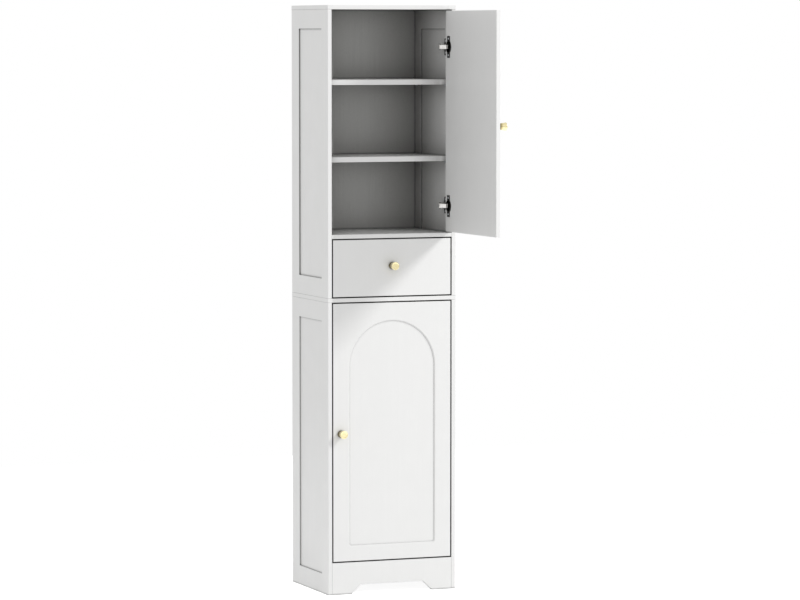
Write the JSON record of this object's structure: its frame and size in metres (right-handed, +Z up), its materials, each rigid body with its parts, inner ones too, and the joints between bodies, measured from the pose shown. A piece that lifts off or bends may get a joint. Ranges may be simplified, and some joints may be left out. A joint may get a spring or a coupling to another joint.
{
  "type": "tall bathroom cabinet",
  "caption": "Slim free-standing bathroom tower: open-door upper case with shelves, drawer in the middle, arched-panel door below, framed sides and a cut-out plinth.",
  "frame": {"origin": "on the floor, at the front left corner of the left side", "axes": "+X to the right along the front, +Y towards the wall behind, +Z up"},
  "size_m": [0.4111, 0.6666, 1.7],
  "materials": {
    "painted_board": "white lacquer over fibreboard",
    "painted_back": "white lacquer over thin board",
    "drawer_box": "white foil",
    "brass": "satin",
    "nickel_steel": "nickel plated",
    "dark_nickel_steel": "black nickel plated",
    "zinc_steel": "zinc plated",
    "coated_steel": "white powder coat",
    "nylon": "moulded",
    "beech": "plain beech"
  },
  "bodies": {
    "carcass": {"top_board": "painted_board", "middle_board": "painted_board", "drawer_roof": "painted_board", "floor_board": "painted_board", "rear_plinth": "painted_board", "front_plinth": "painted_board", "high_shelf": "painted_board", "low_shelf": "painted_board", "lower_shelf": "painted_board", "upper_back_panel": "painted_back", "lower_back_panel": "painted_back", "upper_left_frame": "painted_board", "upper_right_frame": "painted_board", "lower_left_frame": "painted_board", "lower_right_frame": "painted_board", "upper_left_infill": "painted_board", "upper_right_infill": "painted_board", "lower_left_infill": "painted_board", "lower_right_infill": "painted_board", "upper_bottom_hinge_plate": "dark_nickel_steel", "upper_top_hinge_plate": "dark_nickel_steel", "lower_bottom_hinge_plate": "dark_nickel_steel", "lower_top_hinge_plate": "dark_nickel_steel", "upper_bottom_hinge_arm": "nickel_steel", "upper_top_hinge_arm": "nickel_steel", "lower_bottom_hinge_arm": "nickel_steel", "lower_top_hinge_arm": "nickel_steel", "shelf_pins": "zinc_steel", "case_dowels": "beech", "case_wood_screws": "zinc_steel", "case_left_runner": "coated_steel", "case_right_runner": "coated_steel"},
    "upper_door": {"upper_door": "painted_board", "upper_door_knob": "brass", "upper_door_knob_stud": "zinc_steel", "upper_bottom_hinge_cup": "dark_nickel_steel", "upper_top_hinge_cup": "dark_nickel_steel", "upper_cup_screws": "zinc_steel"},
    "upper_hinge_links": {"upper_hinge_links": "nickel_steel"},
    "lower_door": {"lower_door": "painted_board", "lower_door_knob": "brass", "lower_door_knob_stud": "zinc_steel", "lower_bottom_hinge_cup": "dark_nickel_steel", "lower_top_hinge_cup": "dark_nickel_steel", "lower_cup_screws": "zinc_steel"},
    "lower_hinge_links": {"lower_hinge_links": "nickel_steel"},
    "drawer": {"drawer_front": "painted_board", "drawer_knob": "brass", "drawer_knob_stud": "zinc_steel", "drawer_left_side": "drawer_box", "drawer_right_side": "drawer_box", "drawer_back": "drawer_box", "drawer_base_panel": "drawer_box", "drawer_left_runner": "coated_steel", "drawer_right_runner": "coated_steel", "drawer_runner_screws": "zinc_steel"},
    "front_left_roller": {"front_left_roller": "nylon"},
    "front_right_roller": {"front_right_roller": "nylon"},
    "rear_left_roller": {"rear_left_roller": "nylon"},
    "rear_right_roller": {"rear_right_roller": "nylon"}
  },
  "joints": [
    {"name": "upper_door_swing", "type": "hinge", "parent": "carcass", "child": "upper_door", "pos_m": [0.377, 0, 1.365], "axis": [0, 0, 1], "range_deg": [-91, 14]},
    {"name": "upper_hinge_links_turn", "type": "hinge", "parent": "upper_door", "child": "upper_hinge_links", "pos_m": [0.36689, -0.00548, 1.35], "axis": [0, 0, 1], "range_deg": [-21, 134]},
    {"name": "lower_door_swing", "type": "hinge", "parent": "carcass", "child": "lower_door", "pos_m": [0.377, 0, 0.47], "axis": [0, 0, 1], "range_deg": [0, 105]},
    {"name": "lower_hinge_links_turn", "type": "hinge", "parent": "lower_door", "child": "lower_hinge_links", "pos_m": [0.3717, 0.0102, 0.455], "axis": [0, 0, 1], "range_deg": [-155, 0]},
    {"name": "drawer_slide", "type": "slide", "parent": "carcass", "child": "drawer", "axis": [0, -1, 0], "range_m": [0, 0.19]},
    {"name": "front_left_roller_spin", "type": "hinge", "parent": "carcass", "child": "front_left_roller", "pos_m": [0.016, 0.024, 0.8763], "axis": [1, 0, 0], "continuous": true},
    {"name": "front_right_roller_spin", "type": "hinge", "parent": "carcass", "child": "front_right_roller", "pos_m": [0.379, 0.024, 0.8763], "axis": [1, 0, 0], "continuous": true},
    {"name": "rear_left_roller_spin", "type": "hinge", "parent": "drawer", "child": "rear_left_roller", "pos_m": [0.016, 0.254, 0.8763], "axis": [1, 0, 0], "continuous": true},
    {"name": "rear_right_roller_spin", "type": "hinge", "parent": "drawer", "child": "rear_right_roller", "pos_m": [0.379, 0.254, 0.8763], "axis": [1, 0, 0], "continuous": true}
  ],
  "couplings": [
    {"joint": "upper_hinge_links_turn", "follows": "upper_door_swing", "ratio": -1.4666},
    {"joint": "lower_hinge_links_turn", "follows": "lower_door_swing", "ratio": -1.4666},
    {"joint": "front_left_roller_spin", "follows": "drawer_slide", "rad_per_m": 142.86},
    {"joint": "front_right_roller_spin", "follows": "drawer_slide", "rad_per_m": 142.86},
    {"joint": "rear_left_roller_spin", "follows": "drawer_slide", "rad_per_m": 142.86},
    {"joint": "rear_right_roller_spin", "follows": "drawer_slide", "rad_per_m": 142.86}
  ]
}
